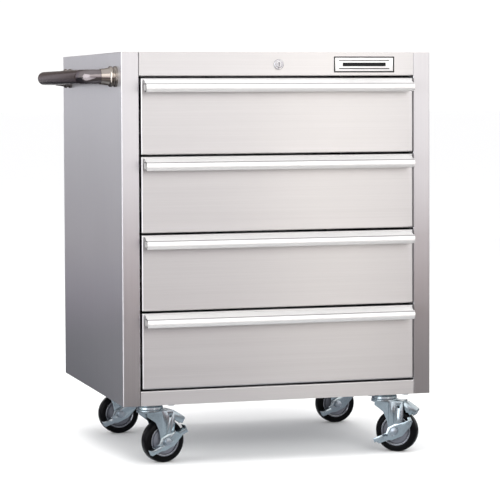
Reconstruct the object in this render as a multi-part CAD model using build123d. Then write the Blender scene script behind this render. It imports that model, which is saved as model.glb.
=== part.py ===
from build123d import *
import math
import os

# Rolling tool cabinet: folded stainless body, four full-extension drawers,
# push handle, central lock and four total-lock swivel casters.
# Millimetres. The model is drawn with x across, y back from the front
# face and z up from the underside of the body, then shifted at export so
# that the origin is the centre of the bounding box at floor level.

# Body
WIDTH = 660.4
DEPTH = 571.5
HEIGHT = 713.6
SHEET = 1.2
BEND_RADIUS = 2.0
POST_WIDTH = 36.5
POST_RETURN = 20.0
REAR_FLANGE = 15.0
SEAM = 0.3
PAN_SHEET = 1.5
PAN_FLANGE = 20.0
TOP_FLANGE = 15.0
RAIL_RETURN = 18.0
RAIL_LIP = 8.0
BOTTOM_RAIL_HEIGHT = 29.9

# Drawers
DRAWER_COUNT = 4
FRONT_BASE = 33.9
FRONT_HEIGHT = 153.75
FRONT_GAP = 4.0
FRONT_WIDTH = 581.0
FRONT_PROUD = 5.0
FRONT_RETURN = 10.0
BOX_SHEET = 1.0
BOX_RISE = 9.0
BOX_HEIGHT = 132.0
BOX_REAR = 530.0
BOX_HEM = 9.0
PITCH = FRONT_HEIGHT + FRONT_GAP

# Pull extrusion, measured out from the drawer face and down from its top
PULL_WALL = 2.0
PULL_REACH = 27.0
PULL_TOP = 3.0
PULL_GROOVE = 11.6
PULL_BOTTOM = 28.0
PULL_ROLL_START = 15.5
PULL_INSET = 4.9

# Ball-bearing slides
SLIDE_LENGTH = 508.0
SLIDE_FRONT = 8.0
SLIDE_THICK = 12.7
SLIDE_SHEET = 1.2
SLIDE_RISE = 66.0
OUTER_HALF = 22.85
MID_HALF = 18.2
INNER_HALF = 13.8
UPRIGHT_SHEET = 1.5
UPRIGHT_WIDTH = 40.0
UPRIGHT_FRONTS = (24.0, 470.0)

# Handle
HANDLE_RADIUS = 14.3
HANDLE_OFFSET = 65.0
HANDLE_BEND = 30.0
HANDLE_DROP = 49.0
HANDLE_FRONT = 45.0
HANDLE_REAR = 488.0
MOUNT_RADIUS = 21.0
MOUNT_LENGTH = 33.0
RUNNING = 0.05

# Lock
LOCK_DROP = 25.0
LOCK_RADIUS = 10.4
LOCK_BARREL = 9.5
PLUG_RADIUS = 7.0
ROD_RADIUS = 4.0
CRANK_RADIUS = 10.0
CRANK_PIN = 2.0
CRANK_START = -45.0
ROD_REAR = 546.0
BAR_FRONT = 552.0
BAR_SHEET = 2.0
BAR_CENTRE = 8.0
BAR_WIDTH = 24.0
HOOK_FRONT = 536.0
CATCH_FRONT = 540.0

# Name plate
PLATE_CENTRE = 185.0
PLATE_SIZE = (132.0, 33.0)
PLATE_THICK = 1.5

# Casters, drawn about the swivel axis with the wheel trailing along +x
CASTER_HEIGHT = 129.0
SWIVEL_X = 256.0
SWIVEL_YS = {"front": 75.0, "rear": 485.0}
TRAIL = 28.0
WHEEL_RADIUS = 44.5
WHEEL_WIDTH = 28.0
RIM_RADIUS = 31.5
AXLE_RADIUS = 4.0
AXLE_HEAD = 13.0
AXLE_Z = WHEEL_RADIUS - CASTER_HEIGHT
LEG_INNER = 17.5
LEG_SHEET = 3.0
CROWN_TOP = -10.4
CROWN_PLATE_TOP = -20.4
KINGPIN_RADIUS = 8.0
LEVER_ARM = 45.0
LEVER_PAD = 18.0
LEVER_SHEET = 2.0
LEVER_TILT = 24.0
LEVER_FACE = -21.0

CASTERS = {
    "front_left": (-SWIVEL_X, SWIVEL_YS["front"], 12.0),
    "front_right": (SWIVEL_X, SWIVEL_YS["front"], -36.0),
    "rear_left": (-SWIVEL_X, SWIVEL_YS["rear"], 0.0),
    "rear_right": (SWIVEL_X, SWIVEL_YS["rear"], 0.0),
}

OPENING_HALF = WIDTH / 2 - POST_WIDTH
HANDLE_REACH = WIDTH / 2 + HANDLE_OFFSET + HANDLE_RADIUS
FRONT_REACH = FRONT_PROUD + PULL_REACH
FRAME = Location((
    (HANDLE_REACH - WIDTH / 2) / 2,
    -(DEPTH - FRONT_REACH) / 2,
    CASTER_HEIGHT,
))

SIDE_VIEW = Plane.YZ
REAR_VIEW = Plane.XZ


def block(x, y, z):
    """A box from three (low, high) pairs."""
    size = [pair[1] - pair[0] for pair in (x, y, z)]
    middle = [(pair[1] + pair[0]) / 2 for pair in (x, y, z)]
    return Pos(*middle) * Box(*size)


def folded(points, thickness, radius=BEND_RADIUS):
    """Cross-section of a folded sheet along its middle line."""
    return trace(FilletPolyline(*points, radius=radius), thickness)


def long_x(profile, low, high):
    """Extrude a profile drawn as (y, z) from x = low to x = high."""
    face = SIDE_VIEW * profile
    return Pos(low, 0, 0) * extrude(face, high - low, dir=(1, 0, 0))


def bar_y(radius, low, high, x=0.0, z=0.0):
    """A round bar along y."""
    return Pos(x, (low + high) / 2, z) * Rot(90, 0, 0) * Cylinder(radius, high - low)


def bar_x(radius, low, high, y=0.0, z=0.0):
    """A round bar along x."""
    return Pos((low + high) / 2, y, z) * Rot(0, 90, 0) * Cylinder(radius, high - low)


def hexagon(across_flats, height):
    """A hexagonal head standing on z = 0."""
    return extrude(RegularPolygon(across_flats / 2, 6, major_radius=False), height)


def mirrored(shape):
    return mirror(shape, about=Plane.YZ)


# ---------------------------------------------------------------- body

def side_panel():
    """Left side: wall, front post with its return, and rear flange in one sheet."""
    wall = -WIDTH / 2 + SHEET / 2
    front = SHEET / 2
    post_edge = -OPENING_HALF - SHEET / 2
    rear = DEPTH - SHEET / 2
    points = [
        (post_edge, POST_RETURN),
        (post_edge, front),
        (wall, front),
        (wall, rear),
        (wall + REAR_FLANGE, rear),
    ]
    return extrude(folded(points, SHEET), HEIGHT - SHEET)


def left_side_panel():
    """The left side also has the two handle screw holes."""
    panel = side_panel()
    for y in (HANDLE_FRONT, HANDLE_REAR):
        panel -= bar_x(4.1, -WIDTH / 2 - 1, -WIDTH / 2 + 2, y, HEIGHT - HANDLE_DROP)
    return panel


def back_panel():
    inside = WIDTH / 2 - SHEET - BEND_RADIUS
    rear = DEPTH - SHEET
    sheet = block((-inside, inside), (rear - SHEET, rear), (PAN_SHEET + SEAM, HEIGHT - SHEET))
    height = HEIGHT - SHEET
    swage = block((-inside + 60, inside - 60), (rear - SHEET - 3, rear - SHEET), (0, 24))
    hollow = block((-inside + 63, inside - 63), (rear - SHEET - 1.8, rear), (3, 21))
    for level in (height * 0.25, height * 0.72):
        sheet += Pos(0, 0, level) * swage
        sheet -= Pos(0, 0, level) * hollow
    return sheet


def top_panel():
    sheet = block((-WIDTH / 2, WIDTH / 2), (0, DEPTH), (HEIGHT - SHEET, HEIGHT))
    sheet = fillet(sheet.edges().filter_by(Axis.Z), BEND_RADIUS + SHEET / 2)
    inside = WIDTH / 2 - SHEET - SEAM
    flange = block(
        (-inside, -inside + SHEET),
        (POST_RETURN + 4, DEPTH - REAR_FLANGE - 4),
        (HEIGHT - SHEET - TOP_FLANGE, HEIGHT - SHEET),
    )
    return sheet + flange + mirrored(flange)


def base_pan():
    inside = WIDTH / 2 - SHEET - SEAM
    front = SHEET + SEAM
    rear = DEPTH - SHEET - SEAM
    sheet = block((-inside, inside), (front, rear), (0, PAN_SHEET))
    sheet = fillet(sheet.edges().filter_by(Axis.Z), 2 * BEND_RADIUS)
    flange = block(
        (-inside, -inside + PAN_SHEET),
        (POST_RETURN + 4, DEPTH - REAR_FLANGE - 4),
        (PAN_SHEET, PAN_FLANGE),
    )
    rear_flange = block(
        (-inside + 25, inside - 25),
        (rear - SHEET - SEAM - PAN_SHEET, rear - SHEET - SEAM),
        (PAN_SHEET, PAN_FLANGE),
    )
    pan = sheet + flange + mirrored(flange)
    slot = block(
        (-OPENING_HALF - SHEET - SEAM, -OPENING_HALF + SEAM),
        (0, POST_RETURN + SEAM),
        (0, PAN_SHEET),
    )
    pan = pan - slot - mirrored(slot)
    for x, y, _ in CASTERS.values():
        for hole_x, hole_y in caster_bolt_places(x, y):
            pan -= Pos(hole_x, hole_y, PAN_SHEET / 2) * Cylinder(4.3, 2 * PAN_SHEET)
    return pan + rear_flange


def top_rail():
    low = FRONT_BASE + DRAWER_COUNT * PITCH
    high = HEIGHT - SHEET
    middle = SHEET / 2
    points = [
        (middle, high),
        (middle, low + middle),
        (RAIL_RETURN, low + middle),
        (RAIL_RETURN, low + RAIL_LIP),
    ]
    rail = long_x(folded(points, SHEET), -OPENING_HALF + SEAM, OPENING_HALF - SEAM)
    rail -= bar_y(LOCK_BARREL, -5, 10, z=HEIGHT - LOCK_DROP)
    return rail


def bottom_rail():
    middle = SHEET / 2
    high = BOTTOM_RAIL_HEIGHT - middle
    points = [
        (middle, 0),
        (middle, high),
        (RAIL_RETURN, high),
        (RAIL_RETURN, high - RAIL_LIP),
    ]
    return long_x(folded(points, SHEET), -OPENING_HALF + SEAM, OPENING_HALF - SEAM)


def slide_uprights():
    """Four channels that carry the drawer slides inside the side walls."""
    wall = -WIDTH / 2 + SHEET
    face = -OPENING_HALF - UPRIGHT_SHEET / 2
    height = HEIGHT - TOP_FLANGE - PAN_FLANGE - 6
    channels = []
    for front in UPRIGHT_FRONTS:
        low = front + UPRIGHT_SHEET / 2
        high = front + UPRIGHT_WIDTH - UPRIGHT_SHEET / 2
        points = [(wall, low), (face, low), (face, high), (wall, high)]
        channel = Pos(0, 0, PAN_FLANGE + 2) * extrude(folded(points, UPRIGHT_SHEET), height)
        channels += [channel, mirrored(channel)]
    return channels


# -------------------------------------------------------------- drawers

def slide_section(web, lip, half):
    """Section (x, z) of one slide member with its web at x = web."""
    edge = half - SLIDE_SHEET / 2
    points = [(lip, edge), (web, edge), (web, -edge), (lip, -edge)]
    return folded(points, SLIDE_SHEET, 1.2)


def slide_pair(web, lip, half, low, high, level):
    """Left and right members of one slide stage, x measured in from the opening edge."""
    face = Plane.XZ * slide_section(web, lip, half)
    member = extrude(face, high - low, dir=(0, 1, 0))
    left = Pos(-OPENING_HALF, low, level) * member
    return [left, mirrored(left)]


def drawer_base(index):
    return FRONT_BASE + (DRAWER_COUNT - 1 - index) * PITCH


def outer_slides():
    web = SLIDE_SHEET / 2
    solids = []
    for index in range(DRAWER_COUNT):
        level = drawer_base(index) + SLIDE_RISE
        rear = SLIDE_FRONT + SLIDE_LENGTH
        solids += slide_pair(web, 9.0, OUTER_HALF, SLIDE_FRONT, rear, level)
    return solids


def mid_slides(index):
    level = drawer_base(index) + SLIDE_RISE
    low = SLIDE_FRONT + 2
    return slide_pair(4.6, 11.0, MID_HALF, low, low + SLIDE_LENGTH - 16, level)


def inner_slides(index):
    level = drawer_base(index) + SLIDE_RISE
    web = SLIDE_THICK - SLIDE_SHEET / 2
    return slide_pair(web, 7.0, INNER_HALF, SLIDE_FRONT, SLIDE_FRONT + SLIDE_LENGTH - 26, level)


def drawer_front(index):
    """Pan-folded face with a return on all four edges."""
    base = drawer_base(index)
    half = FRONT_WIDTH / 2
    front = (-FRONT_PROUD, -FRONT_PROUD + FRONT_RETURN)
    pan = block((-half, half), front, (base, base + FRONT_HEIGHT))
    pan = fillet(pan.edges().filter_by(Axis.Y), 1.0)
    face = pan.faces().sort_by(Axis.Y)[0]
    pan = fillet(face.edges(), BEND_RADIUS + SHEET / 2)
    inside = block(
        (-half + SHEET, half - SHEET),
        (-FRONT_PROUD + SHEET, front[1]),
        (base + SHEET, base + FRONT_HEIGHT - SHEET),
    )
    inside = fillet(inside.faces().sort_by(Axis.Y)[0].edges(), BEND_RADIUS - SHEET / 2)
    return pan - inside


def drawer_box(index):
    """Open box with rolled top hems and the lock catch on its back."""
    base = drawer_base(index) + BOX_RISE
    half = OPENING_HALF - SLIDE_THICK
    front = FRONT_RETURN - FRONT_PROUD
    top = base + BOX_HEIGHT
    outer = block((-half, half), (front, BOX_REAR), (base, top))
    inner = block(
        (-half + BOX_SHEET, half - BOX_SHEET),
        (front + BOX_SHEET, BOX_REAR - BOX_SHEET),
        (base + BOX_SHEET, top),
    )
    box = outer - inner
    hem = block(
        (-half + BOX_SHEET, -half + BOX_HEM),
        (front + BOX_SHEET, BOX_REAR - BOX_SHEET),
        (top - BOX_SHEET, top),
    )
    box += hem + mirrored(hem)
    return [box, lock_catch(index)]


def catch_level(index):
    return drawer_base(index) + BOX_RISE + 70.0


def lock_catch(index):
    """Angle on the drawer back with a lip that turns down."""
    level = catch_level(index)
    low = BAR_CENTRE - 8
    points = [(BOX_REAR + 0.75, level - 12), (BOX_REAR + 0.75, level + 9.25)]
    points += [(CATCH_FRONT + 0.75, level + 9.25), (CATCH_FRONT + 0.75, level)]
    return long_x(folded(points, 1.5, 1.5), low, low + 16)


def drawer_pull(index):
    """Full-width extrusion: flange on the face, sloping web, hollow finger roll."""
    top = drawer_base(index) + FRONT_HEIGHT
    wall = PULL_WALL / 2
    groove = (PULL_ROLL_START, -PULL_GROOVE)
    reach = PULL_REACH - wall
    flange = Line((wall, -PULL_BOTTOM + 4), (wall, -PULL_TOP - 3))
    corner = ThreePointArc((wall, -PULL_TOP - 3), (1.9, -PULL_TOP - 1.3), (4, -PULL_TOP - 1.6))
    web = ThreePointArc((4, -PULL_TOP - 1.6), (9.5, -7.4), groove)
    crown = ThreePointArc(groove, (20, -PULL_GROOVE + 1.0), (reach - 1, -15.5))
    nose = ThreePointArc((reach - 1, -15.5), (reach, -20), (reach - 2.5, -25))
    curl = ThreePointArc((reach - 2.5, -25), (19, -PULL_BOTTOM + wall), (15.5, -23.5))
    profile = trace([flange, corner, web, crown, nose, curl], PULL_WALL)
    half = FRONT_WIDTH / 2 - PULL_INSET
    extrusion = long_x(mirror(profile, about=Plane.YZ), -half, half)
    return Pos(0, -FRONT_PROUD, top) * extrusion


# --------------------------------------------------------------- handle

def handle_tube():
    """One tube bent twice, standing off the left wall."""
    wall = -WIDTH / 2 - 6
    out = -WIDTH / 2 - HANDLE_OFFSET
    level = HEIGHT - HANDLE_DROP
    points = [
        (wall, HANDLE_FRONT, level),
        (out, HANDLE_FRONT, level),
        (out, HANDLE_REAR, level),
        (wall, HANDLE_REAR, level),
    ]
    path = FilletPolyline(*points, radius=HANDLE_BEND)
    start = Plane(origin=points[0], z_dir=(-1, 0, 0))
    outer = sweep(start * Circle(HANDLE_RADIUS), path=path)
    inner = sweep(start * Circle(HANDLE_RADIUS - 1.5), path=path)
    return outer - inner


def handle_mount(y):
    """Turned socket: foot flange, waist, raised bead and a cone that meets the tube."""
    bore = HANDLE_RADIUS + RUNNING
    points = [
        (4.05, 0),
        (MOUNT_RADIUS, 0),
        (MOUNT_RADIUS, 4),
        (MOUNT_RADIUS - 1.8, 5.5),
        (MOUNT_RADIUS - 1.8, 8),
        (MOUNT_RADIUS, 10),
        (MOUNT_RADIUS, 13),
        (MOUNT_RADIUS - 1.6, 15),
        (17.8, 16),
        (16.6, 23),
        (bore + 1.2, MOUNT_LENGTH),
        (bore, MOUNT_LENGTH),
        (bore, 6),
        (4.05, 6),
    ]
    socket = revolve(Plane.XZ * make_face(Polyline(*points, close=True)), Axis.Z)
    return Pos(-WIDTH / 2, y, HEIGHT - HANDLE_DROP) * Rot(0, -90, 0) * socket


def handle_mounts():
    return [handle_mount(HANDLE_FRONT), handle_mount(HANDLE_REAR)]


def handle_bolts():
    """Screws from inside the wall into the sockets, each with a washer face."""
    solids = []
    for y in (HANDLE_FRONT, HANDLE_REAR):
        level = HEIGHT - HANDLE_DROP
        wall = -WIDTH / 2 + SHEET
        shank = bar_x(4.0, wall - SHEET - 10, wall, y, level)
        washer = bar_x(8.0, wall, wall + 1.2, y, level)
        head = Pos(wall + 1.2, y, level) * Rot(0, 90, 0) * hexagon(13, 5)
        solids.append(shank + washer + head)
    return solids


# ----------------------------------------------------------------- lock

def lock_housing():
    level = HEIGHT - LOCK_DROP
    flange = bar_y(LOCK_RADIUS, -3, 0, z=level)
    flange = chamfer(flange.edges().sort_by(Axis.Y)[0], 0.8)
    barrel = bar_y(LOCK_BARREL - 0.05, 0, 22, z=level)
    nut = Pos(0, 1.3, level) * Rot(-90, 0, 0) * hexagon(24, 4)
    housing = flange + barrel + nut
    return housing - bar_y(PLUG_RADIUS + RUNNING, -4, 30, z=level)


def lock_plug():
    level = HEIGHT - LOCK_DROP
    plug = bar_y(PLUG_RADIUS, -3.2, 22.5, z=level)
    collar = bar_y(PLUG_RADIUS + 1.5, 22.5, 25, z=level)
    plug += collar
    keyway = block((-0.7, 0.7), (-4, 12), (level - 4, level + 4))
    return plug - keyway - bar_y(ROD_RADIUS, 20, 26, z=level)


def crank_place(radius):
    angle = math.radians(CRANK_START)
    return radius * math.cos(angle), radius * math.sin(angle)


def lock_rod():
    """Torsion rod from the plug to the crank that lifts the lock bar."""
    level = HEIGHT - LOCK_DROP
    rod = bar_y(ROD_RADIUS, 20, ROD_REAR + 3, z=level)
    pin_x, pin_z = crank_place(CRANK_RADIUS)
    arm = bar_y(7, ROD_REAR, ROD_REAR + 3, z=level)
    arm += bar_y(4.5, ROD_REAR, ROD_REAR + 3, pin_x, level + pin_z)
    link = Box(CRANK_RADIUS, 3, 8)
    link = Pos(CRANK_RADIUS / 2, ROD_REAR + 1.5, 0) * link
    arm += Pos(0, 0, level) * Rot(0, -CRANK_START, 0) * link
    pin = bar_y(CRANK_PIN, ROD_REAR + 3, BAR_FRONT + BAR_SHEET + 2, pin_x, level + pin_z)
    return rod + arm + pin


def lock_bar():
    """Vertical strip on the back with one hook per drawer and the crank slot."""
    level = HEIGHT - LOCK_DROP
    _, pin_z = crank_place(CRANK_RADIUS)
    low = BAR_CENTRE - BAR_WIDTH / 2
    side = (low, low + BAR_WIDTH)
    depth = (BAR_FRONT, BAR_FRONT + BAR_SHEET)
    bottom = catch_level(DRAWER_COUNT - 1) - 40
    strip = block(side, depth, (bottom, level + pin_z + 8))
    slot_z = level + pin_z
    slot = block((4.0, 13.2), (BAR_FRONT - 1, BAR_FRONT + 3), (slot_z - 2.65, slot_z + 2.65))
    strip -= slot
    for index in range(DRAWER_COUNT):
        strip += lock_hook(index)
    return strip


def lock_hook(index):
    level = catch_level(index) - 15.25
    points = [(BAR_FRONT + 0.5, level), (HOOK_FRONT + 0.75, level), (HOOK_FRONT + 0.75, level + 9)]
    low = BAR_CENTRE - 7
    return long_x(folded(points, 1.5, 1.5), low, low + 14)


def lock_guides():
    """Rod bearing and two loops for the bar, fixed to the back panel."""
    level = HEIGHT - LOCK_DROP
    rear = DEPTH - 2 * SHEET
    bearing = block((-11, 11), (530, 531.5), (level - 10, HEIGHT - SHEET))
    bearing += block((-11, 11), (531.5, 545), (HEIGHT - SHEET - 1.5, HEIGHT - SHEET))
    bearing -= bar_y(ROD_RADIUS + RUNNING, 529, 533, z=level)
    solids = [bearing]
    low = BAR_CENTRE - BAR_WIDTH / 2 - 0.4
    high = low + BAR_WIDTH + 0.8
    for z in (catch_level(DRAWER_COUNT - 1) - 34, catch_level(0) + 18):
        loop = block((low - 1.5, high + 1.5), (BAR_FRONT - 2, rear), (z, z + 10))
        loop -= block((low, high), (BAR_FRONT - 0.4, BAR_FRONT + BAR_SHEET + 0.4), (z, z + 10))
        solids.append(loop - block((low, high), (BAR_FRONT + 4, rear), (z, z + 10)))
    return solids


def name_plate():
    """Blank raised-edge plate on the top rail."""
    width, height = PLATE_SIZE
    level = HEIGHT - LOCK_DROP
    low = PLATE_CENTRE - width / 2
    plate = block((low, low + width), (-PLATE_THICK, 0), (level - height / 2, level + height / 2))
    plate = fillet(plate.edges().filter_by(Axis.Y), 3.0)
    recess = block(
        (low + 3, low + width - 3),
        (-PLATE_THICK, -PLATE_THICK + 0.5),
        (level - height / 2 + 3, level + height / 2 - 3),
    )
    return plate - fillet(recess.edges().filter_by(Axis.Y), 1.5)


# -------------------------------------------------------------- casters

def caster_bolt_places(x, y):
    return [(x + 38 * i, y + 25 * j) for i in (-1, 1) for j in (-1, 1)]


def caster_plate(x, y):
    """Mounting plate with the upper race and the riveted kingpin."""
    plate = Pos(x, y, -1.5) * Box(95, 70, 3)
    plate = fillet(plate.edges().filter_by(Axis.Z), 5)
    for hole_x, hole_y in caster_bolt_places(x, y):
        plate -= Pos(hole_x, hole_y, -1.5) * Cylinder(4.3, 6)
    points = [(0, -3), (25.5, -3), (26, -5), (26, -9), (25, -10), (KINGPIN_RADIUS, -10)]
    points += [(KINGPIN_RADIUS, -13.8), (12, -13.8), (11, -17), (0, -17)]
    race = revolve(Plane.XZ * make_face(Polyline(*points, close=True)), Axis.Z)
    return plate + Pos(x, y, 0) * race


def caster_plates():
    return [caster_plate(x, y) for x, y, _ in CASTERS.values()]


def caster_bolts():
    solids = []
    for x, y, _ in CASTERS.values():
        for hole_x, hole_y in caster_bolt_places(x, y):
            shank = Pos(0, 0, 1) * Cylinder(4.0, 18)
            head = Pos(0, 0, -8) * hexagon(13, 5)
            nut = Pos(0, 0, PAN_SHEET) * hexagon(13, 6)
            solids.append(Pos(hole_x, hole_y, 0) * (shank + head + nut))
    return solids


def fork_leg():
    """Side plate with a pressed rib, drawn in x and z."""
    outline = Polyline(
        (-16, CROWN_PLATE_TOP),
        (45, CROWN_PLATE_TOP),
        (47, -50),
        (44, -64),
        (TRAIL + 13, AXLE_Z),
        (TRAIL - 13, AXLE_Z),
        (11, -62),
        (3, -44),
        (-16, -30),
        close=True,
    )
    leg = extrude(Plane.XZ * make_face(outline), LEG_SHEET, dir=(0, -1, 0))
    leg = Pos(0, -LEG_INNER, 0) * leg
    leg += bar_y(13, -LEG_INNER - LEG_SHEET, -LEG_INNER, TRAIL, AXLE_Z)
    rib = block((14, 27), (-LEG_INNER - LEG_SHEET - 2, -LEG_INNER), (-66, CROWN_PLATE_TOP))
    rib = chamfer(rib.faces().sort_by(Axis.Y)[0].edges().filter_by(Axis.Z), 1.9)
    channel = block((17, 24), (-LEG_INNER - LEG_SHEET, -LEG_INNER), (-63, CROWN_PLATE_TOP - 3))
    leg = leg + rib - channel
    leg -= bar_y(2.9, -LEG_INNER - 6, -LEG_INNER + 1, 36.5, -32.5)
    return leg - bar_y(AXLE_RADIUS, -LEG_INNER - 6, -LEG_INNER + 1, TRAIL, AXLE_Z)


def fork():
    """Crown cup, head plate and two legs, with the brake leaf riveted below."""
    points = [
        (KINGPIN_RADIUS + RUNNING, CROWN_TOP),
        (25, CROWN_TOP),
        (26.5, CROWN_TOP - 1.5),
        (26.5, -16),
        (28, -18),
        (28, CROWN_PLATE_TOP - LEG_SHEET),
        (23, CROWN_PLATE_TOP - LEG_SHEET),
        (23, CROWN_TOP - 3),
        (KINGPIN_RADIUS + RUNNING, CROWN_TOP - 3),
    ]
    crown = revolve(Plane.XZ * make_face(Polyline(*points, close=True)), Axis.Z)
    edge = LEG_INNER + LEG_SHEET
    plate = block((-16, 45), (-edge, edge), (CROWN_PLATE_TOP - LEG_SHEET, CROWN_PLATE_TOP))
    plate -= Pos(0, 0, CROWN_PLATE_TOP) * Cylinder(23, 12)
    leg = fork_leg()
    return [crown + plate + leg + mirror(leg, about=Plane.XZ), brake_leaf()]


def brake_leaf():
    """Sprung leaf over the tread with a toothed end and scalloped cheeks."""
    level = CROWN_PLATE_TOP - LEG_SHEET - 1.25
    points = [(26, level), (51, level), (73, -39), (66.5, -50)]
    profile = Plane.XZ * folded(points, 2.5, 2.0)
    leaf = Pos(0, -13, 0) * extrude(profile, 26, dir=(0, 1, 0))
    for step in range(5):
        leaf -= Pos(67, -10 + 5 * step, -50) * Rot(0, 30, 0) * Box(4, 2.4, 8)
    cheek = Polyline(
        (36, level),
        (51, level),
        (73, -39),
        (67.5, -48.5),
        (62, -47.5),
        (59.5, -50),
        (56, -44.5),
        (52, -44.5),
        (49, -39),
        (36, -35),
        close=True,
    )
    cheek = extrude(Plane.XZ * make_face(cheek), 1.5, dir=(0, -1, 0))
    cheek = Pos(0, -13, 0) * cheek
    return leaf + cheek + mirror(cheek, about=Plane.XZ)


def tyre():
    half = WHEEL_WIDTH / 2
    tread = half - 6
    points = [
        (RIM_RADIUS, -half + 1.5),
        (33, -half + 0.3),
        (38, -half),
        (42.4, -half + 2.2),
        (WHEEL_RADIUS, -tread),
        (WHEEL_RADIUS, tread),
        (42.4, half - 2.2),
        (38, half),
        (33, half - 0.3),
        (RIM_RADIUS, half - 1.5),
    ]
    return wheel_place() * revolve(Plane.XZ * make_face(Polyline(*points, close=True)), Axis.Z)


def wheel_place():
    return Pos(TRAIL, 0, AXLE_Z) * Rot(90, 0, 0)


def hub():
    half_points = [(AXLE_RADIUS + RUNNING, 16.5), (9, 16.5), (10, 10.5), (26, 10.0)]
    half_points += [(26.3, 6.5), (28.6, 6.5), (29, 12.5), (RIM_RADIUS, 12.5)]
    lower = [(r, -h) for r, h in reversed(half_points)]
    face = make_face(Polyline(*half_points, *lower, close=True))
    return wheel_place() * revolve(Plane.XZ * face, Axis.Z)


def axle():
    """Axle bolt, its head outside the lever and its nut on the far leg."""
    edge = LEG_INNER + LEG_SHEET
    outside = LEVER_FACE - LEVER_SHEET - 0.5
    shank = bar_y(AXLE_RADIUS, outside, edge, TRAIL, AXLE_Z)
    tip = bar_y(AXLE_RADIUS, edge, edge + 8, TRAIL, AXLE_Z)
    washer = bar_y(AXLE_HEAD / 2 + 1.5, outside - 1.2, outside, TRAIL, AXLE_Z)
    head = Pos(TRAIL, outside - 1.2, AXLE_Z) * Rot(90, 0, 0) * hexagon(AXLE_HEAD, 5)
    nut = Pos(TRAIL, edge, AXLE_Z) * Rot(-90, 0, 0) * hexagon(AXLE_HEAD, 6.5)
    return shank + tip + washer + head + nut


def lever_pad(low, high, level):
    """Foot pad folded outward from the lever, with a turned-down front edge."""
    pad = block((low, high), (-LEVER_PAD, 0), (level - LEVER_SHEET, level))
    front = block((low, high), (-LEVER_PAD, -LEVER_PAD + LEVER_SHEET), (level - 9, level))
    return pad + front


def brake_lever():
    """Rocking plate on the axle with a foot pad at each end."""
    outline = Polyline(
        (-LEVER_ARM, -7),
        (-LEVER_ARM + 3, -11),
        (-19, -12),
        (-13, -15),
        (12, -15),
        (LEVER_ARM - 8, -4),
        (LEVER_ARM, 4),
        (LEVER_ARM, 11),
        (16, 11),
        (8, 14),
        (-10, 13),
        (-18, 4),
        (-LEVER_ARM, 4),
        close=True,
    )
    plate = extrude(Plane.XZ * make_face(outline), LEVER_SHEET, dir=(0, -1, 0))
    lever = plate + lever_pad(-LEVER_ARM, -23, 4) + lever_pad(26, LEVER_ARM, 11)
    lever += block((LEVER_ARM - LEVER_SHEET, LEVER_ARM), (-LEVER_PAD, 0), (8, 17))
    lever -= bar_y(AXLE_RADIUS + RUNNING, -4, 2)
    return Pos(TRAIL, LEVER_FACE, AXLE_Z) * Rot(0, -LEVER_TILT, 0) * lever


def caster_nodes(label, x, y, turn):
    place = Pos(x, y, 0) * Rot(0, 0, turn)
    pieces = {
        "fork": fork(),
        "tyre": [tyre()],
        "hub": [hub()],
        "axle": [axle()],
        "brake_lever": [brake_lever()],
    }
    return {
        f"caster_{label}_{name}": [place * solid for solid in solids]
        for name, solids in pieces.items()
    }


def all_nodes():
    nodes = {
        "left_side_panel": [left_side_panel()],
        "right_side_panel": [mirrored(side_panel())],
        "back_panel": [back_panel()],
        "top_panel": [top_panel()],
        "base_pan": [base_pan()],
        "top_rail": [top_rail()],
        "bottom_rail": [bottom_rail()],
        "slide_uprights": slide_uprights(),
        "outer_slides": outer_slides(),
        "handle_tube": [handle_tube()],
        "handle_mounts": handle_mounts(),
        "handle_bolts": handle_bolts(),
        "name_plate": [name_plate()],
        "lock_housing": [lock_housing()],
        "lock_plug": [lock_plug()],
        "lock_rod": [lock_rod()],
        "lock_bar": [lock_bar()],
        "lock_guides": lock_guides(),
        "caster_plates": caster_plates(),
        "caster_bolts": caster_bolts(),
    }
    for index in range(DRAWER_COUNT):
        name = f"drawer_{index + 1}"
        nodes[f"{name}_box"] = drawer_box(index)
        nodes[f"{name}_front"] = [drawer_front(index)]
        nodes[f"{name}_pull"] = [drawer_pull(index)]
        nodes[f"{name}_inner_slides"] = inner_slides(index)
        nodes[f"{name}_mid_slides"] = mid_slides(index)
    for label, (x, y, turn) in CASTERS.items():
        nodes.update(caster_nodes(label, x, y, turn))
    return nodes


os.makedirs("parts", exist_ok=True)
for node, solids in all_nodes().items():
    placed = [FRAME * solid for solid in solids]
    shape = placed[0] if len(placed) == 1 else Compound(children=placed)
    export_step(shape, f"parts/{node}.step")
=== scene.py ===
import math

import bmesh
import bpy
from mathutils import Matrix, Vector


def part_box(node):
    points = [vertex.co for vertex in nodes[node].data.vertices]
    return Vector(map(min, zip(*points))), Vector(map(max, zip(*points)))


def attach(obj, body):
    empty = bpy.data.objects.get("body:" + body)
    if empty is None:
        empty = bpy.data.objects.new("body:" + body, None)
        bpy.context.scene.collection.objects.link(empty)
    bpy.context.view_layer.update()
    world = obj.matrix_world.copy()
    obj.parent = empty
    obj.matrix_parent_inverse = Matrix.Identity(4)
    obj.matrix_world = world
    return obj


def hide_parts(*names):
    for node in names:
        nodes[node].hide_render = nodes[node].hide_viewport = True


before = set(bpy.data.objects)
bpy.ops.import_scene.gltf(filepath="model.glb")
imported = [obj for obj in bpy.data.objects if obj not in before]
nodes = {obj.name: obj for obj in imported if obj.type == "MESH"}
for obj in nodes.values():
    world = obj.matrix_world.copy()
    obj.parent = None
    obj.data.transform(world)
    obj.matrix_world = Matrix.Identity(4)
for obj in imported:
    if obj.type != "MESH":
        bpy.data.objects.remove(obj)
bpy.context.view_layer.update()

# ---------------------------------------------------------------------------
# Studio: a plain pale floor, soft light from large panels and a long lens at
# eye level with the top drawer. None of it belongs to the cabinet. Cards that
# only glossy surfaces see give the steel its gradients.


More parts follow.
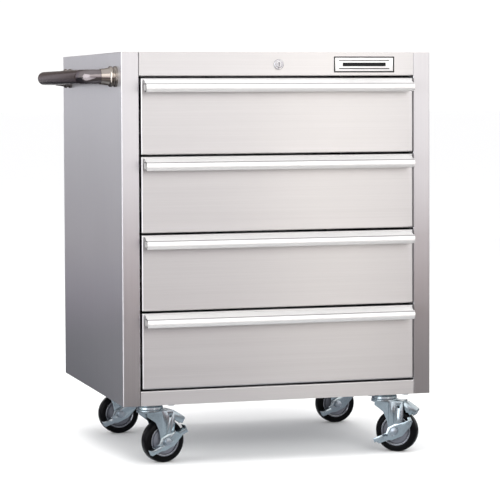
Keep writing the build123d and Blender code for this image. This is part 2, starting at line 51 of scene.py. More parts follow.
def linear(code, alpha=1.0):
    """An sRGB hex colour as linear red, green, blue and alpha."""
    parts = [int(code[i:i + 2], 16) / 255 for i in (1, 3, 5)]
    return tuple(p / 12.92 if p <= 0.04045 else ((p + 0.055) / 1.055) ** 2.4 for p in parts) + (alpha,)


def add(tree, kind, settings=None, **sockets):
    """A node with its settings; each socket gets a value or a link from another node's output."""
    node = tree.nodes.new(kind)
    for key, value in (settings or {}).items():
        setattr(node, key, value)
    for key, value in sockets.items():
        index = int(key[1:]) if key[0] == "i" and key[1:].isdigit() else key.replace("_", " ")
        socket = node.inputs[index]
        if isinstance(value, bpy.types.NodeSocket):
            tree.links.new(value, socket)
        else:
            socket.default_value = value
    return node


def material(name):
    """A named material and its empty node tree."""
    made = bpy.data.materials.new(name)
    made.use_nodes = True
    made.node_tree.nodes.clear()
    return made, made.node_tree


def shade(tree, shader):
    """Joins a shader to the material's output."""
    add(tree, "ShaderNodeOutputMaterial", Surface=shader.outputs[0])


world = bpy.data.worlds.new("soft_room")
bpy.context.scene.world = world
world.use_nodes = True
room = world.node_tree
room.nodes.clear()
where = add(room, "ShaderNodeTexCoord")
split = add(room, "ShaderNodeSeparateXYZ", Vector=where.outputs["Generated"])
rise = add(room, "ShaderNodeMapRange", From_Min=0.1, From_Max=0.8, Value=split.outputs["Z"])
sky = add(room, "ShaderNodeMix", {"data_type": "RGBA"}, Factor=rise.outputs[0])
sky.inputs["A"].default_value = linear("#ffffff")
sky.inputs["B"].default_value = linear("#fbfbfd")
backing = add(room, "ShaderNodeBackground", Color=sky.outputs["Result"], Strength=1.06)
add(room, "ShaderNodeOutputWorld", Surface=backing.outputs[0])

FLOOR_HALF = 120

floor_mesh = bpy.data.meshes.new("studio_floor")
bm = bmesh.new()
bmesh.ops.create_grid(bm, x_segments=1, y_segments=1, size=FLOOR_HALF)
bm.to_mesh(floor_mesh)
bm.free()
floor = bpy.data.objects.new("studio_floor", floor_mesh)
bpy.context.scene.collection.objects.link(floor)

# Matt background paper: nearly white, with a fine fibre.
pale, tree = material("pale_studio_paper")
where = add(tree, "ShaderNodeTexCoord")
fibre = add(tree, "ShaderNodeTexNoise", Vector=where.outputs["Object"], Scale=240.0, Detail=3.0)
paper = add(tree, "ShaderNodeMix", {"data_type": "RGBA"}, Factor=fibre.outputs["Fac"])
paper.inputs["A"].default_value = linear("#f9f9f8")
paper.inputs["B"].default_value = linear("#fcfcfb")
shade(tree, add(tree, "ShaderNodeBsdfPrincipled", Base_Color=paper.outputs["Result"], Roughness=0.95))
floor_mesh.materials.append(pale)


def light_panel(name, place, aim, size, watts):
    """A soft white lamp aimed at a point, unseen by the lens and by reflections."""
    data = bpy.data.lights.new(name, "AREA")
    data.shape = "RECTANGLE"
    data.size, data.size_y = size
    data.energy = watts
    panel = bpy.data.objects.new(name, data)
    panel.location = place
    panel.rotation_euler = (Vector(aim) - Vector(place)).to_track_quat("-Z", "Y").to_euler()
    panel.visible_camera = False
    panel.visible_glossy = False
    bpy.context.scene.collection.objects.link(panel)


def graded(name, axes, reach, stops, strength):
    """A glow in stops along a card's height, or over distance from the origin for two axes."""
    made, tree = material(name)
    where = add(tree, "ShaderNodeTexCoord")
    part = add(
        tree, "ShaderNodeVectorMath", {"operation": "MULTIPLY"}, i0=where.outputs["Object"], i1=axes,
    )
    if sum(axes) == 1:
        measure = add(tree, "ShaderNodeSeparateXYZ", Vector=part.outputs["Vector"]).outputs["Y"]
    else:
        away = add(tree, "ShaderNodeVectorMath", {"operation": "LENGTH"}, i0=part.outputs["Vector"])
        measure = away.outputs["Value"]
    place = add(tree, "ShaderNodeMapRange", Value=measure, From_Max=reach)
    ramp = add(tree, "ShaderNodeValToRGB", Fac=place.outputs[0])
    band = ramp.color_ramp
    band.elements[1].position = 1.0
    for at, _ in stops[1:-1]:
        band.elements.new(at / reach)
    for element, (_, code) in zip(band.elements, stops):
        element.color = linear(code)
    shade(tree, add(tree, "ShaderNodeEmission", Color=ramp.outputs[0], Strength=strength))
    return made


def card(name, corner, width, height, tilt, made, turn=0.0):
    """A flat studio card from its lower left corner, seen by glossy surfaces only."""
    mesh = bpy.data.meshes.new(name)
    bm = bmesh.new()
    bmesh.ops.create_grid(
        bm, x_segments=1, y_segments=1, size=0.5,
        matrix=Matrix.Translation((width / 2, height / 2, 0)) @ Matrix.Diagonal((width, height, 1, 1)),
    )
    bm.to_mesh(mesh)
    bm.free()
    mesh.materials.append(made)
    panel = bpy.data.objects.new(name, mesh)
    panel.location = corner
    panel.rotation_euler = (math.radians(tilt), 0, math.radians(turn))
    panel.visible_camera = False
    panel.visible_diffuse = False
    panel.visible_shadow = False
    bpy.context.scene.collection.objects.link(panel)
    return panel


FRONT_GLOW = (
    (0, "#6b5452"), (0.15, "#644c4e"), (0.3, "#8d8589"), (0.45, "#c2c0c2"),
    (0.6, "#d0cecf"), (0.75, "#bcbabc"), (1.0, "#c4c1c1"), (1.4, "#e5e3e2"),
    (2.0, "#f2f0ee"), (3.0, "#f2efee"),
)
SIDE_GLOW = (
    (0, "#62586a"), (0.2, "#98959f"), (0.4, "#a4a4af"), (0.6, "#bcbec7"),
    (0.8, "#e8eaf4"), (1.1, "#e8e9f2"), (1.6, "#e1e2eb"), (2.2, "#dbdde6"),
    (3.0, "#d9dbe4"),
)
FRONT_FLOOR_GLOW = (
    (0, "#cfd4da"), (0.35, "#cdd2d8"), (0.6, "#8e8e93"), (0.9, "#7c7878"),
    (1.3, "#aba29f"), (1.8, "#808286"), (2.5, "#76736f"), (3.5, "#54504a"),
    (6, "#3a3733"),
)
BACK_FLOOR_GLOW = (
    (0, "#b9bdc4"), (0.5, "#8e9097"), (0.9, "#606169"), (2.0, "#5a5c64"), (6, "#54565c"),
)
CARD_HEIGHT = 3.0
FLAG_HALF = 6.0
FLAG_LIFT = 0.004

light_panel("front_panel", (0.9, -5.4, 2.7), (0.0, 0.0, 0.6), (3.6, 2.2), 150)
light_panel("overhead_panel", (-0.4, -0.6, 3.4), (0.0, 0.0, 0.4), (2.8, 2.8), 80)
light_panel("left_panel", (-3.6, -1.2, 1.9), (0.0, 0.0, 0.6), (1.0, 1.9), 45)
upright = graded("front_gradient_softbox", (0, 1, 0), CARD_HEIGHT, FRONT_GLOW, 2.6)
card("front_softbox", (-3.1, -3.0, 0.0), 8.1, CARD_HEIGHT, 90, upright)
strip = graded("strip_softbox_cloth", (0, 1, 0), 1.3, ((0, "#f5efe9"), (1.3, "#f5efe9")), 2.5)
card("strip_softbox", (0.91, -2.98, 0.0), 0.34, 1.3, 90, strip)
beside = graded("left_softbox_cloth", (0, 1, 0), 1.5, ((0, "#f2f4fa"), (1.5, "#fbfcff")), 3.4)
card("left_softbox", (-3.1, -3.3, 0.02), 2.8, 2.9, 90, beside, 90)
bounce = graded("left_bounce_cloth", (0, 1, 0), 3.0, ((0, "#eeeff3"), (3.0, "#f6f7fa")), 2.4)
card("left_bounce", (-3.1, -3.2, 0.008), 2.2, 3.0, 0, bounce)
behind = graded("side_gradient_softbox", (0, 1, 0), CARD_HEIGHT, SIDE_GLOW, 1.2)
card("side_softbox", (-5.1, 2.4, 0.0), 4.6, CARD_HEIGHT, 90, behind)
dim = graded("grey_flag_cloth", (0, 1, 0), 2.0, ((0, "#a79f9d"), (2.0, "#8e8785")), 1.0)
card("outer_flag", (-1.75, 2.38, 0.2), 0.72, 1.3, 90, dim)
card("handle_flag", (-0.64, 2.38, 0.8), 1.7, 1.5, 90, dim)
for name, glow, near in (("front", FRONT_FLOOR_GLOW, -FLAG_HALF), ("back", BACK_FLOOR_GLOW, 0.0)):
    around = graded(f"{name}_floor_flag_cloth", (1, 1, 0), FLAG_HALF, glow, 1.0)
    flag = card(f"{name}_floor_flag", (0, 0, FLAG_LIFT), 2 * FLAG_HALF, FLAG_HALF, 0, around)
    flag.data.transform(Matrix.Translation((-FLAG_HALF, near, 0)))

EYE = Vector((-1.2725, -4.4681, 0.7543))
AZIMUTH, PITCH, ROLL = (math.radians(angle) for angle in (16.5815, 2.25, -0.2357))
ahead = Vector((
    math.sin(AZIMUTH) * math.cos(PITCH), math.cos(AZIMUTH) * math.cos(PITCH), -math.sin(PITCH),
))
level = Vector((math.cos(AZIMUTH), -math.sin(AZIMUTH), 0))
above = level.cross(ahead)
right = level * math.cos(ROLL) + above * math.sin(ROLL)
up = above * math.cos(ROLL) - level * math.sin(ROLL)
lens = bpy.data.cameras.new("eye")
lens.sensor_width = 36
lens.lens = 154.79
lens.shift_y = -0.14
lens.clip_end = 100
eye = bpy.data.objects.new("eye", lens)
turn = Matrix((right, up, -ahead)).transposed().to_4x4()
eye.matrix_world = Matrix.Translation(EYE) @ turn
bpy.context.scene.collection.objects.link(eye)
bpy.context.scene.camera = eye
bpy.context.scene.view_settings.view_transform = "Standard"

# ---------------------------------------------------------------------------
# Cabinet shell: 1.2 mm stainless sheet, belt-brushed. The grain runs upright
# on the walls and posts, level on the rails, and side to side on the lid.
# A belt leaves scratches about 0.1 mm apart. They are drawn 0.45 mm apart, so
# that they show, under a broad lay of 6 mm. Brushing smears a reflection
# across the grain, which the anisotropy gives.

SCRATCH = 0.00045
LAY = 0.006
SCRATCH_RUN = 0.22
SMEAR = 0.85


def brushed(name, grain, light, dark, rough, turn=0.0, tangent=None):
    """Brushed steel with its grain along the given axes (0 x, 1 y, 2 z)."""
    made, tree = material(name)
    where = add(tree, "ShaderNodeTexCoord")

    def streaks(pitch, run, detail):
        scale = [1 / pitch] * 3
        for axis in grain:
            scale[axis] = 1 / run
        placed = add(tree, "ShaderNodeMapping", Vector=where.outputs["Object"], Scale=scale)
        return add(
            tree, "ShaderNodeTexNoise", Vector=placed.outputs[0], Scale=1.0, Detail=detail, Roughness=0.6,
        )

    fine = streaks(SCRATCH, SCRATCH_RUN, 3.0)
    lay = streaks(LAY, 3 * SCRATCH_RUN, 2.0)
    cloud = add(
        tree, "ShaderNodeTexNoise", Vector=where.outputs["Object"], Scale=4.5, Detail=3.0, Roughness=0.55,
    )
    hands = add(
        tree, "ShaderNodeTexNoise", Vector=where.outputs["Object"], Scale=27.0, Detail=4.0, Distortion=0.6,
    )
    part = add(
        tree, "ShaderNodeMath", {"operation": "MULTIPLY_ADD"}, i0=lay.outputs["Fac"], i1=0.35, i2=0.0,
    )
    both = add(
        tree, "ShaderNodeMath", {"operation": "MULTIPLY_ADD"},
        i0=fine.outputs["Fac"], i1=0.65, i2=part.outputs[0],
    )
    tone = add(tree, "ShaderNodeMapRange", Value=both.outputs[0], From_Min=0.3, From_Max=0.7)
    steel = add(tree, "ShaderNodeMix", {"data_type": "RGBA"}, Factor=tone.outputs[0])
    steel.inputs["A"].default_value = linear(dark)
    steel.inputs["B"].default_value = linear(light)
    wear = add(
        tree, "ShaderNodeMath", {"operation": "MULTIPLY_ADD"},
        i0=cloud.outputs["Fac"], i1=0.6, i2=tone.outputs[0],
    )
    touched = add(
        tree, "ShaderNodeMath", {"operation": "MULTIPLY_ADD"},
        i0=hands.outputs["Fac"], i1=0.3, i2=wear.outputs[0],
    )
    gloss = add(
        tree, "ShaderNodeMapRange", Value=touched.outputs[0],
        From_Min=0.5, From_Max=1.4, To_Min=rough[0], To_Max=rough[1],
    )
    relief = add(tree, "ShaderNodeBump", Height=fine.outputs["Fac"], Strength=0.1, Distance=0.0002)
    shader = add(
        tree, "ShaderNodeBsdfPrincipled", Base_Color=steel.outputs["Result"], Metallic=1.0,
        Roughness=gloss.outputs[0], Anisotropic=SMEAR, Anisotropic_Rotation=turn, Normal=relief.outputs[0],
    )
    if tangent:
        along = add(tree, "ShaderNodeTangent", {"direction_type": "RADIAL", "axis": tangent})
        tree.links.new(along.outputs[0], shader.inputs["Tangent"])
    shade(tree, shader)
    return made


def coat(node, made):
    """Gives a CAD piece a finished material."""
    target = nodes[node]
    target.data.materials.clear()
    target.data.materials.append(made)


wall_steel = brushed("upright_brushed_stainless_sheet", (2,), "#cac9ca", "#c0bfc1", (0.3, 0.36))
face_steel = brushed("level_brushed_stainless_sheet", (0, 1), "#d9d8d8", "#cfcece", (0.32, 0.38), turn=0.25)
lid_steel = brushed("brushed_stainless_lid", (0, 2), "#d6d3d1", "#cbc9c8", (0.3, 0.36), tangent="X")

for name in ("left_side_panel", "right_side_panel", "back_panel"):
    coat(name, wall_steel)
for name in ("top_rail", "bottom_rail"):
    coat(name, face_steel)
for name in ("top_panel", "base_pan"):
    coat(name, lid_steel)

# ---------------------------------------------------------------------------
# Drawer fronts: the same sheet with a level grain, pan-folded with a 2.6 mm
# outside bend on all four edges, screwed to the boxes behind.

DRAWERS = range(1, 5)
for number in DRAWERS:
    coat(f"drawer_{number}_front", face_steel)

# ---------------------------------------------------------------------------
# Drawer boxes, uprights and lock strip: 1 mm galvanised sheet, whose hot-dip
# zinc leaves a faint pattern of crystals and a soft satin grey.


def galvanised(name, light, dark):
    """Hot-dip zinc: flat crystals about 11 mm across in two close greys."""
    made, tree = material(name)
    where = add(tree, "ShaderNodeTexCoord")
    spangle = add(
        tree, "ShaderNodeTexVoronoi", {"feature": "F1"}, Vector=where.outputs["Object"],
        Scale=90.0, Randomness=1.0,
    )
    haze = add(tree, "ShaderNodeTexNoise", Vector=where.outputs["Object"], Scale=14.0, Detail=4.0)
    grey = add(tree, "ShaderNodeSeparateColor", Color=spangle.outputs["Color"])
    blend = add(
        tree, "ShaderNodeMath", {"operation": "MULTIPLY_ADD"}, i0=grey.outputs[0], i1=0.45, i2=0.1,
    )
    total = add(
        tree, "ShaderNodeMath", {"operation": "MULTIPLY_ADD"},
        i0=haze.outputs["Fac"], i1=0.5, i2=blend.outputs[0],
    )
    zinc = add(tree, "ShaderNodeMix", {"data_type": "RGBA"}, Factor=total.outputs[0])
    zinc.inputs["A"].default_value = linear(dark)
    zinc.inputs["B"].default_value = linear(light)
    gloss = add(tree, "ShaderNodeMapRange", Value=total.outputs[0], To_Min=0.34, To_Max=0.52)
    relief = add(tree, "ShaderNodeBump", Height=total.outputs[0], Strength=0.06, Distance=0.0003)
    shade(tree, add(
        tree, "ShaderNodeBsdfPrincipled", Base_Color=zinc.outputs["Result"], Metallic=1.0,
        Roughness=gloss.outputs[0], Normal=relief.outputs[0],
    ))
    return made


zinc_sheet = galvanised("hot_dip_galvanised_sheet", "#b9bcbe", "#8f9598")
for name in ["slide_uprights", "lock_bar", "lock_guides"] + [f"drawer_{n}_box" for n in DRAWERS]:
    coat(name, zinc_sheet)


def keep(name, bm, made, body, slot, *stands_for):
    """Turns a bmesh into a finished piece that rides on its body."""
    mesh = bpy.data.meshes.new(name)
    bm.to_mesh(mesh)
    bm.free()
    piece = bpy.data.objects.new(name, mesh)
    bpy.context.scene.collection.objects.link(piece)
    for one in made if isinstance(made, (list, tuple)) else [made]:
        mesh.materials.append(one)
    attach(piece, body)
    if stands_for:
        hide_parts(*stands_for)
    return piece


# ---------------------------------------------------------------------------
# Drawer mats: 3 mm black foamed EVA with low moulded ribs, cut to the floor
# of each box and laid in loose.

MAT_THICK = 0.003
MAT_SIDE = 0.004
MAT_EDGE = 0.0008
RIB_PITCH = 0.009
BOX_SHEET = 0.0011
BOX_REAR_DEPTH = 0.0115

# Foamed EVA: matt black with open pores under 1 mm and a rib every 9 mm. A
# wave texture of scale 1 repeats every 2 pi / 20 of a metre.
mat_foam, tree = material("ribbed_eva_foam")
where = add(tree, "ShaderNodeTexCoord")
grit = add(tree, "ShaderNodeTexNoise", Vector=where.outputs["Object"], Scale=1400.0, Detail=2.0)
rib = add(
    tree, "ShaderNodeTexWave", {"wave_type": "BANDS", "bands_direction": "X"},
    Vector=where.outputs["Object"], Scale=math.tau / 20 / RIB_PITCH,
)
black = add(tree, "ShaderNodeMix", {"data_type": "RGBA"}, Factor=grit.outputs["Fac"])
black.inputs["A"].default_value = linear("#1b1b1d")
black.inputs["B"].default_value = linear("#2d2d30")
dent = add(tree, "ShaderNodeBump", Height=rib.outputs["Fac"], Strength=0.5, Distance=0.0012)
pore = add(
    tree, "ShaderNodeBump", Height=grit.outputs["Fac"], Strength=0.25, Distance=0.0002,
    Normal=dent.outputs[0],
)
shade(tree, add(
    tree, "ShaderNodeBsdfPrincipled", Base_Color=black.outputs["Result"], Roughness=0.78,
    Normal=pore.outputs[0],
))


def block(bm, low, high):
    """A box between two corners, added to a bmesh."""
    middle = (Vector(low) + Vector(high)) / 2
    size = Vector(high) - Vector(low)
    bmesh.ops.create_cube(bm, size=1, matrix=Matrix.Translation(middle) @ Matrix.Diagonal((*size, 1)))


SHARP = math.radians(30)


def ease(bm, width):
    """Rounds the sharp edges of a bmesh and smooths the faces between them."""
    chosen = [e for e in bm.edges if len(e.link_faces) == 2 and e.calc_face_angle(0) > SHARP]
    if width and chosen:
        bmesh.ops.bevel(
            bm, geom=chosen, offset=width, offset_type="OFFSET", affect="EDGES",
            segments=2, profile=0.5, material=-1, clamp_overlap=True,
        )
    for face in bm.faces:
        face.smooth = True
    for edge in bm.edges:
        edge.smooth = len(edge.link_faces) == 2 and edge.calc_face_angle(0) < SHARP


for number in DRAWERS:
    low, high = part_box(f"drawer_{number}_box")
    behind_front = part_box(f"drawer_{number}_front")[1].y
    bm = bmesh.new()
    block(
        bm,
        (low.x + MAT_SIDE, behind_front + MAT_SIDE, low.z + BOX_SHEET),
        (high.x - MAT_SIDE, high.y - BOX_REAR_DEPTH - MAT_SIDE, low.z + BOX_SHEET + MAT_THICK),
    )
    ease(bm, MAT_EDGE)
    keep(f"drawer_{number}_mat", bm, mat_foam, f"drawer_{number}", "tyre_rubber")

# ---------------------------------------------------------------------------
# Drawer pulls: clear-anodised aluminium extrusions the width of the front,
# with a sloping web and a hollow roll that the fingers hook behind. The die
# leaves faint lines along the length.

# Where the painted groove shade falls: the height of a pull's groove, the drawer pitch and how far the band
# reaches.
GROOVE_LEVEL = 0.30505
GROOVE_PITCH = 0.15775
GROOVE_REACH = 0.0013
DIE_LINES = (1.5, 1100, 1100)
FILM = 0.72

# Anodised aluminium: a clear satin oxide film over pale metal. The film
# scatters part of the light, so the surface is not wholly metallic. Die lines
# lie under 1 mm apart. A thin band of painted shade darkens the groove between
# web and roll, which repeats with the drawers.
anodised, tree = material("clear_anodised_aluminium")
where = add(tree, "ShaderNodeTexCoord")
placed = add(tree, "ShaderNodeMapping", Vector=where.outputs["Object"], Scale=DIE_LINES)
die = add(tree, "ShaderNodeTexNoise", Vector=placed.outputs[0], Scale=1.0, Detail=2.0)
bloom = add(tree, "ShaderNodeTexNoise", Vector=where.outputs["Object"], Scale=6.0, Detail=3.0)
metal = add(tree, "ShaderNodeMix", {"data_type": "RGBA"}, Factor=die.outputs["Fac"])
metal.inputs["A"].default_value = linear("#dedddc")
metal.inputs["B"].default_value = linear("#eae9e8")
gloss = add(tree, "ShaderNodeMapRange", Value=bloom.outputs["Fac"], To_Min=0.46, To_Max=0.54)
relief = add(tree, "ShaderNodeBump", Height=die.outputs["Fac"], Strength=0.08, Distance=0.0003)
# Painted shade: a thin band at each pull's groove height, repeated every drawer, mixed towards a darker
# grey.
height = add(tree, "ShaderNodeSeparateXYZ", Vector=where.outputs["Object"])
climbed = add(
    tree, "ShaderNodeMath", {"operation": "SUBTRACT"},
    i0=height.outputs["Z"], i1=GROOVE_LEVEL - GROOVE_PITCH / 2,
)
within = add(tree, "ShaderNodeMath", {"operation": "WRAP"}, i0=climbed.outputs[0], i1=GROOVE_PITCH, i2=0.0)
offset = add(tree, "ShaderNodeMath", {"operation": "SUBTRACT"}, i0=within.outputs[0], i1=GROOVE_PITCH / 2)
apart = add(tree, "ShaderNodeMath", {"operation": "ABSOLUTE"}, i0=offset.outputs[0])
painted_groove_shade = add(
    tree, "ShaderNodeMapRange", Value=apart.outputs[0],
    From_Min=GROOVE_REACH / 2, From_Max=GROOVE_REACH, To_Min=0.85, To_Max=0.0,
)
groove_shaded_metal = add(tree, "ShaderNodeMix", {"data_type": "RGBA"}, Factor=painted_groove_shade.outputs[0])
tree.links.new(metal.outputs["Result"], groove_shaded_metal.inputs["A"])
groove_shaded_metal.inputs["B"].default_value = linear("#8b898a")
shade(tree, add(
    tree, "ShaderNodeBsdfPrincipled", Base_Color=groove_shaded_metal.outputs["Result"], Metallic=FILM,
    Roughness=gloss.outputs[0], Normal=relief.outputs[0],
))


def merged(name):
    """A copy of a CAD node's mesh as a bmesh with its triangles joined up."""
    bm = bmesh.new()
    bm.from_mesh(nodes[name].data)
    bmesh.ops.remove_doubles(bm, verts=bm.verts, dist=2e-6)
    bmesh.ops.dissolve_limit(bm, angle_limit=math.radians(0.5), verts=bm.verts, edges=bm.edges)
    return bm


# Sawn aluminium: the bare cut end, rougher than the film, with the blade's
# marks. It is coloured darker as painted shade for the view into the hollow roll.
END_FACING = 0.9
sawn_end_painted_shade, tree = material("sawn_extrusion_end_painted_shade")
where = add(tree, "ShaderNodeTexCoord")
stretched = add(tree, "ShaderNodeMapping", Vector=where.outputs["Object"], Scale=(400, 400, 1800))
kerf = add(tree, "ShaderNodeTexNoise", Vector=stretched.outputs[0], Scale=1.0, Detail=2.0)
shaded_bare_metal = add(tree, "ShaderNodeMix", {"data_type": "RGBA"}, Factor=kerf.outputs["Fac"])
shaded_bare_metal.inputs["A"].default_value = linear("#5e5e61")
shaded_bare_metal.inputs["B"].default_value = linear("#7b7b7e")
marks = add(tree, "ShaderNodeBump", Height=kerf.outputs["Fac"], Strength=0.3, Distance=0.0002)
shade(tree, add(
    tree, "ShaderNodeBsdfPrincipled", Base_Color=shaded_bare_metal.outputs["Result"], Metallic=1.0,
    Roughness=0.55, Normal=marks.outputs[0],
))

for number in DRAWERS:
    pull = f"drawer_{number}_pull"
    bm = merged(pull)
    ease(bm, 0)
    # End faces take the sawn end, whose dark colour is painted shade.
    for face in bm.faces:
        face.material_index = int(abs(face.normal.x) > END_FACING)
    keep(f"{pull}_extrusion", bm, (anodised, sawn_end_painted_shade), f"drawer_{number}", "pull_aluminium", pull)

# ---------------------------------------------------------------------------
# Slides: three roll-formed members a side, bright zinc plated and wiped with
# a thin film of grease that dulls the zinc in drifts.


def plated(name, light, dark, tint, rough, scale):
    """Zinc plate: bright grey steel with a thin clear passivate that drifts in tint."""
    made, tree = material(name)
    where = add(tree, "ShaderNodeTexCoord")
    drift = add(tree, "ShaderNodeTexNoise", Vector=where.outputs["Object"], Scale=scale, Detail=3.0)
    grain = add(tree, "ShaderNodeTexNoise", Vector=where.outputs["Object"], Scale=420.0, Detail=2.0)
    base = add(tree, "ShaderNodeMix", {"data_type": "RGBA"}, Factor=grain.outputs["Fac"])
    base.inputs["A"].default_value = linear(dark)
    base.inputs["B"].default_value = linear(light)
    patch = add(
        tree, "ShaderNodeMapRange", Value=drift.outputs["Fac"], From_Min=0.35, From_Max=0.7, To_Max=0.6,
    )
    film = add(tree, "ShaderNodeMix", {"data_type": "RGBA"}, Factor=patch.outputs[0])
    tree.links.new(base.outputs["Result"], film.inputs["A"])
    film.inputs["B"].default_value = linear(tint)
    gloss = add(
        tree, "ShaderNodeMapRange", Value=drift.outputs["Fac"],
        From_Min=0.3, From_Max=0.7, To_Min=rough[0], To_Max=rough[1],
    )
    relief = add(tree, "ShaderNodeBump", Height=grain.outputs["Fac"], Strength=0.07, Distance=0.0002)
    shade(tree, add(
        tree, "ShaderNodeBsdfPrincipled", Base_Color=film.outputs["Result"], Metallic=1.0,
        Roughness=gloss.outputs[0], Normal=relief.outputs[0],
    ))
    return made


slide_zinc = plated("zinc_plated_slide_steel", "#c2c6ca", "#a7adb3", "#c9c6b8", (0.2, 0.32), 22.0)
coat("outer_slides", slide_zinc)
for number in DRAWERS:
    coat(f"drawer_{number}_inner_slides", slide_zinc)
    coat(f"drawer_{number}_mid_slides", slide_zinc)

# ---------------------------------------------------------------------------
# Push handle: 28.6 mm stainless tube bent twice, polished dark, in two turned
# and polished sockets screwed through the left wall.


def polished(name, light, dark, rough, edge):
    """Polished metal: nearly a mirror with a faint haze, and darker where it is seen edge-on."""
    made, tree = material(name)
    where = add(tree, "ShaderNodeTexCoord")
    haze = add(
        tree, "ShaderNodeTexNoise", Vector=where.outputs["Object"], Scale=60.0, Detail=5.0, Roughness=0.6,
    )
    tone = add(tree, "ShaderNodeMix", {"data_type": "RGBA"}, Factor=haze.outputs["Fac"])
    tone.inputs["A"].default_value = linear(dark)
    tone.inputs["B"].default_value = linear(light)
    gloss = add(
        tree, "ShaderNodeMapRange", Value=haze.outputs["Fac"],
        From_Min=0.3, From_Max=0.7, To_Min=rough[0], To_Max=rough[1],
    )
    shade(tree, add(
        tree, "ShaderNodeBsdfPrincipled", Base_Color=tone.outputs["Result"], Metallic=1.0,
        Roughness=gloss.outputs[0], Specular_Tint=linear(edge),
    ))
    return made


# Dark polished stainless for the tube, brighter stainless for its sockets.
tube_steel = polished("polished_dark_stainless_tube", "#8a8384", "#736c6d", (0.13, 0.2), "#b0aaa8")
socket_steel = polished("polished_stainless_fitting", "#b4aca6", "#a0988f", (0.09, 0.14), "#9c9692")
bm = merged("handle_tube")
ease(bm, 0)
keep("push_handle_tube", bm, tube_steel, "cabinet", "handle_steel", "handle_tube")
bm = merged("handle_mounts")
ease(bm, 0)
keep("push_handle_sockets", bm, socket_steel, "cabinet", "chrome_trim", "handle_mounts")

# ---------------------------------------------------------------------------
# Lock: a chromed wafer cylinder in the top rail, with its torsion rod running
# back to the strip that hooks every drawer.

KEYWAY_REACH = 0.0042
KEYWAY_RECESS = 0.0003
LOCK_EDGE = 0.00025

# Chromed die-cast zinc for the cylinder, near-black steel inside its keyway as
# painted shade in the recess, and zinc plate on the rod and on all bolts.
chrome = polished("chromed_lock_zinc", "#c6c6c8", "#adadb1", (0.08, 0.14), "#8f8f92")
fixing_steel = plated("zinc_plated_fixings", "#b4bbc2", "#8d959c", "#a4b0ba", (0.24, 0.38), 60.0)
keyway_painted_shade = polished("keyway_painted_shade_steel", "#2a2826", "#171615", (0.35, 0.5), "#ffffff")
for name, body in (("lock_housing", "cabinet"), ("lock_plug", "lock_cylinder")):
    bm = merged(name)
    ease(bm, LOCK_EDGE)
    low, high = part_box(name)
    middle = (low + high) / 2
    for face in bm.faces:
        at = face.calc_center_median()
        across = math.hypot(at.x - middle.x, at.z - middle.z)
        # Faces inside the keyway take near-black steel: painted shade in the recess.
        inside = name == "lock_plug" and across < KEYWAY_REACH and at.y > low.y + KEYWAY_RECESS
        face.material_index = int(inside)
    keep(f"{name}_chromed", bm, (chrome, keyway_painted_shade), body, "chrome_trim", name)
for name in ("lock_rod", "handle_bolts", "caster_bolts"):
    coat(name, fixing_steel)

# ---------------------------------------------------------------------------
# Name plate: a blank anodised aluminium plate, screen-printed with a black
# border and three plain rules, stuck to the top rail. Each rule has its rise
# from the middle, its thickness and its length.

BORDER = 0.0026
MARGIN = 0.0001
INK_THICK = 0.00025
INK_LAP = 0.0001
PLATE_EDGE = 0.0003
RULES = ((0.0, 0.0076, 0.094), (0.0086, 0.0018, 0.110), (-0.0086, 0.0018, 0.110))

# Screen ink: satin black with the faint weave of the printing mesh.
ink, tree = material("black_screen_ink")
where = add(tree, "ShaderNodeTexCoord")
mesh_weave = add(tree, "ShaderNodeTexNoise", Vector=where.outputs["Object"], Scale=900.0, Detail=2.0)
pigment = add(tree, "ShaderNodeMix", {"data_type": "RGBA"}, Factor=mesh_weave.outputs["Fac"])
pigment.inputs["A"].default_value = linear("#08090a")
pigment.inputs["B"].default_value = linear("#121415")
weave = add(tree, "ShaderNodeBump", Height=mesh_weave.outputs["Fac"], Strength=0.15, Distance=0.0001)
shade(tree, add(
    tree, "ShaderNodeBsdfPrincipled", Base_Color=pigment.outputs["Result"], Roughness=0.5,
    Specular_IOR_Level=0.2, Normal=weave.outputs[0],
))

low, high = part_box("name_plate")
back_of_ink = low.y + INK_THICK
bm = bmesh.new()
block(bm, (low.x, back_of_ink, low.z), high)
ease(bm, PLATE_EDGE)
keep("badge_plate", bm, anodised, "cabinet", "badge", "name_plate")
bm = bmesh.new()
inner = BORDER + MARGIN
for start, end in (
    ((low.x + MARGIN, low.z + MARGIN), (high.x - MARGIN, low.z + inner)),
    ((low.x + MARGIN, high.z - inner), (high.x - MARGIN, high.z - MARGIN)),
    ((low.x + MARGIN, low.z + inner), (low.x + inner, high.z - inner)),
    ((high.x - inner, low.z + inner), (high.x - MARGIN, high.z - inner)),
):
    block(bm, (start[0], low.y, start[1]), (end[0], back_of_ink + INK_LAP, end[1]))
middle = (low + high) / 2
for rise, thick, length in RULES:
    block(
        bm,
        (middle.x - length / 2, low.y, middle.z + rise - thick / 2),
        (middle.x + length / 2, back_of_ink + INK_LAP, middle.z + rise + thick / 2),
    )
ease(bm, 0)
keep("badge_printing", bm, ink, "cabinet", "badge", "name_plate")

# ---------------------------------------------------------------------------
# Casters: pressed forks and brake parts in blue-bright zinc plate, a moulded
# nylon hub whose outer rim carries a painted highlight, a black rubber tyre
# moulded on, and a bolt for an axle. The front pair stands turned.

RIM_FROM = 0.0288
AXLE_LINES = {
    corner: Matrix.Rotation(math.radians(angle), 3, "Z") @ Vector((0, 1, 0))
    for corner, angle in (("front_left", 12), ("front_right", -36), ("rear_left", 0), ("rear_right", 0))
}

blue_zinc = plated("blue_bright_zinc_plate", "#c3ccd1", "#9aa6ad", "#aebfc4", (0.15, 0.28), 30.0)
coat("caster_plates", blue_zinc)

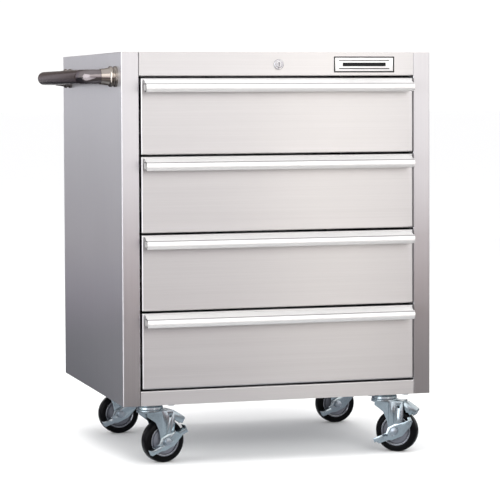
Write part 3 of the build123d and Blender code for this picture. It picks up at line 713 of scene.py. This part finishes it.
# Moulded rubber: deep black with a low sheen, and dust that lifts it in patches.
rubber, tree = material("moulded_black_rubber")
where = add(tree, "ShaderNodeTexCoord")
skin = add(tree, "ShaderNodeTexNoise", Vector=where.outputs["Object"], Scale=260.0, Detail=3.0)
dust = add(tree, "ShaderNodeTexNoise", Vector=where.outputs["Object"], Scale=18.0, Detail=3.0)
tread = add(tree, "ShaderNodeMix", {"data_type": "RGBA"}, Factor=dust.outputs["Fac"])
tread.inputs["A"].default_value = linear("#050506")
tread.inputs["B"].default_value = linear("#0e0e10")
gloss = add(tree, "ShaderNodeMapRange", Value=skin.outputs["Fac"], To_Min=0.2, To_Max=0.3)
pore = add(tree, "ShaderNodeBump", Height=skin.outputs["Fac"], Strength=0.1, Distance=0.0003)
shade(tree, add(
    tree, "ShaderNodeBsdfPrincipled", Base_Color=tread.outputs["Result"], Roughness=gloss.outputs[0],
    Specular_IOR_Level=0.06, Normal=pore.outputs[0],
))

# Moulded nylon: blue-grey, satin, with a fine fleck of filler.
nylon, tree = material("moulded_grey_nylon")
where = add(tree, "ShaderNodeTexCoord")
fleck = add(tree, "ShaderNodeTexNoise", Vector=where.outputs["Object"], Scale=300.0, Detail=3.0)
grey = add(tree, "ShaderNodeMix", {"data_type": "RGBA"}, Factor=fleck.outputs["Fac"])
grey.inputs["A"].default_value = linear("#555861")
grey.inputs["B"].default_value = linear("#686b75")
pore = add(tree, "ShaderNodeBump", Height=fleck.outputs["Fac"], Strength=0.08, Distance=0.0002)
shade(tree, add(
    tree, "ShaderNodeBsdfPrincipled", Base_Color=grey.outputs["Result"], Roughness=0.42,
    Normal=pore.outputs[0],
))
# Painted highlight: the hub's outer rim, beyond 28.8 mm from the axle, gets a bright plated finish.
hub_rim_highlight = plated("hub_rim_painted_highlight", "#e6e8ec", "#cfd2d8", "#dadde3", (0.22, 0.34), 40.0)

for corner, axle_line in AXLE_LINES.items():
    caster = f"caster_{corner}"
    for part, body, width, made, slot in (
        ("fork", caster, 0.0005, blue_zinc, "zinc_plate"),
        ("brake_lever", f"{caster}_lever", 0.0005, blue_zinc, "zinc_plate"),
        ("axle", caster, 0.0004, fixing_steel, "fastener_steel"),
        ("tyre", f"{caster}_wheel", 0.0015, rubber, "tyre_rubber"),
        ("hub", f"{caster}_wheel", 0.0003, (nylon, hub_rim_highlight), "hub_plastic"),
    ):
        bm = merged(f"{caster}_{part}")
        ease(bm, width)
        # Hub faces beyond RIM_FROM from the axle take the painted highlight.
        if part == "hub":
            low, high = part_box(f"{caster}_hub")
            middle = (low + high) / 2
            for face in bm.faces:
                out = face.calc_center_median() - middle
                out -= axle_line * out.dot(axle_line)
                face.material_index = int(out.length > RIM_FROM)
        keep(f"{caster}_{part}_finished", bm, made, body, slot, f"{caster}_{part}")
